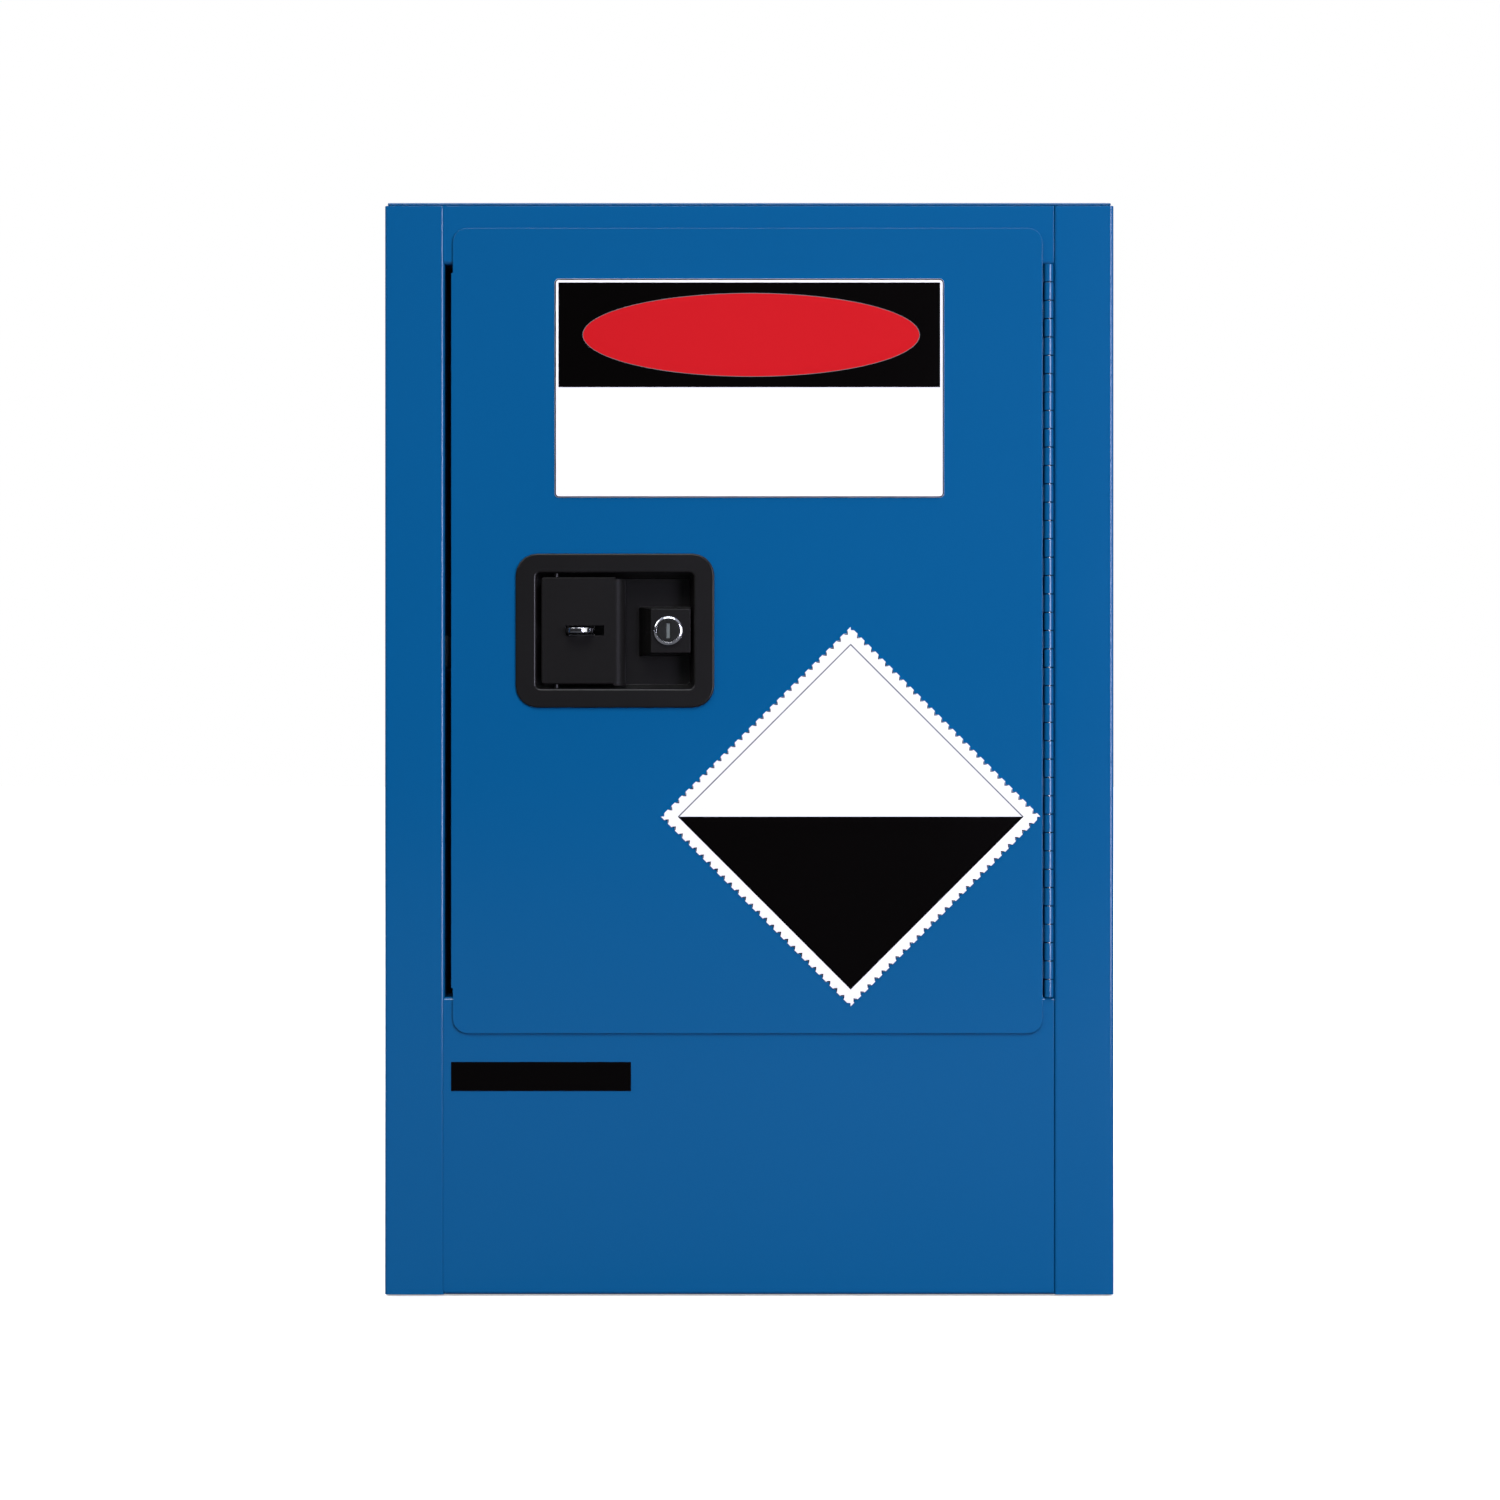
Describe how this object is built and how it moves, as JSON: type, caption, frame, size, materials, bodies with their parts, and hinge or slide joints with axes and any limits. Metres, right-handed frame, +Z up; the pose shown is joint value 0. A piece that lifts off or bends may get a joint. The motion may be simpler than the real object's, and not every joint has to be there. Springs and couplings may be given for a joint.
{
  "type": "corrosive storage cabinet",
  "caption": "Double-walled blue steel cabinet with a right-hung door, recessed paddle latch and lock, shelf, sump and vents.",
  "frame": {"origin": "on the floor, under the middle of the overall width and the overall depth with the padlock hasp", "axes": "+Z up, -Y out of the door, +X to the hinge side"},
  "size_m": [0.5, 0.465, 0.75],
  "materials": {
    "blue_paint": "satin blue powder coat",
    "galvanised_steel": "galvanised sheet",
    "stainless_steel": "fine brushed stainless steel",
    "zinc_plate": "bright zinc plate",
    "black_latch": "satin black coating",
    "black_rubber": "matt black rubber",
    "lock_chrome": "polished chrome",
    "lock_black": "black lock face",
    "white_nylon": "natural nylon",
    "blue_plastic": "moulded blue polypropylene",
    "placard_white": "white gloss placard",
    "label_black": "black gloss label"
  },
  "bodies": {
    "cabinet": {"left_side_panel": "blue_paint", "right_side_panel": "blue_paint", "top_panel": "blue_paint", "back_panel": "blue_paint", "base_panel": "blue_paint", "front_top_rail": "blue_paint", "front_bottom_panel": "blue_paint", "liner_left": "blue_paint", "liner_right": "blue_paint", "liner_back": "blue_paint", "liner_top": "blue_paint", "sump_pan": "blue_paint", "foot_front_left": "zinc_plate", "foot_front_right": "zinc_plate", "foot_rear_left": "zinc_plate", "foot_rear_right": "zinc_plate", "shelf_clip_front_left": "galvanised_steel", "shelf_clip_rear_left": "galvanised_steel", "shelf_clip_front_right": "galvanised_steel", "shelf_clip_rear_right": "galvanised_steel", "top_strike": "stainless_steel", "bottom_strike": "stainless_steel", "hinge_frame_leaf": "blue_paint", "hinge_pin": "stainless_steel", "capacity_label": "label_black", "vent_collar_left": "zinc_plate", "vent_arrester_left": "stainless_steel", "vent_cap_left": "blue_paint", "vent_collar_right": "zinc_plate", "vent_arrester_right": "stainless_steel", "vent_cap_right": "blue_paint"},
    "shelf": {"shelf": "galvanised_steel"},
    "shelf_tray": {"shelf_tray": "blue_plastic"},
    "sump_tray": {"sump_tray": "blue_plastic"},
    "door": {"door_outer_skin": "blue_paint", "door_inner_skin": "blue_paint", "hinge_door_leaf": "blue_paint", "upper_placard": "placard_white", "diamond_placard": "placard_white", "latch_housing": "black_latch", "housing_gasket": "black_rubber", "latch_bracket": "zinc_plate", "bracket_screw": "zinc_plate", "hasp": "stainless_steel", "paddle_pin": "stainless_steel", "paddle_spring": "stainless_steel", "lock_barrel": "lock_chrome", "lock_nut": "zinc_plate", "rod_guide_top": "white_nylon", "rod_guide_bottom": "white_nylon"},
    "paddle": {"paddle": "black_latch"},
    "rotor": {"rotor": "zinc_plate"},
    "top_rod": {"top_rod": "zinc_plate"},
    "bottom_rod": {"bottom_rod": "zinc_plate"},
    "lock": {"lock_plug": "lock_black", "lock_cam": "zinc_plate"}
  },
  "joints": [
    {"name": "door_hinge", "type": "hinge", "parent": "cabinet", "child": "door", "pos_m": [0.2055, -0.217, 0.4565], "axis": [0, 0, 1], "range_deg": [0, 120]},
    {"name": "paddle_pull", "type": "hinge", "parent": "door", "child": "paddle", "pos_m": [-0.1325, -0.215, 0.4565], "axis": [0, 0, -1], "range_deg": [0, 30], "stiffness_Nm_per_rad": 0.3, "springref_deg": -17.19},
    {"name": "rotor_turn", "type": "hinge", "parent": "door", "child": "rotor", "pos_m": [-0.118, -0.1951, 0.4565], "axis": [0, 1, 0], "range_deg": [0, 30.1]},
    {"name": "top_rod_slide", "type": "slide", "parent": "door", "child": "top_rod", "axis": [0, 0, -1], "range_m": [0, 0.0078]},
    {"name": "bottom_rod_slide", "type": "slide", "parent": "door", "child": "bottom_rod", "axis": [0, 0, 1], "range_m": [0, 0.0078]},
    {"name": "key_turn", "type": "hinge", "parent": "door", "child": "lock", "pos_m": [-0.0555, -0.2, 0.4565], "axis": [0, -1, 0], "range_deg": [0, 90]},
    {"name": "shelf_lift", "type": "slide", "parent": "cabinet", "child": "shelf", "axis": [0, 0, 1], "range_m": [0, 0.06]},
    {"name": "shelf_tray_lift", "type": "slide", "parent": "shelf", "child": "shelf_tray", "axis": [0, 0, 1], "range_m": [0, 0.1]},
    {"name": "sump_tray_lift", "type": "slide", "parent": "cabinet", "child": "sump_tray", "axis": [0, 0, 1], "range_m": [0, 0.1]}
  ],
  "couplings": [
    {"joint": "rotor_turn", "follows": "paddle_pull", "ratio": 1},
    {"joint": "top_rod_slide", "follows": "paddle_pull", "m_per_rad": 0.014829},
    {"joint": "bottom_rod_slide", "follows": "paddle_pull", "m_per_rad": 0.014829}
  ]
}
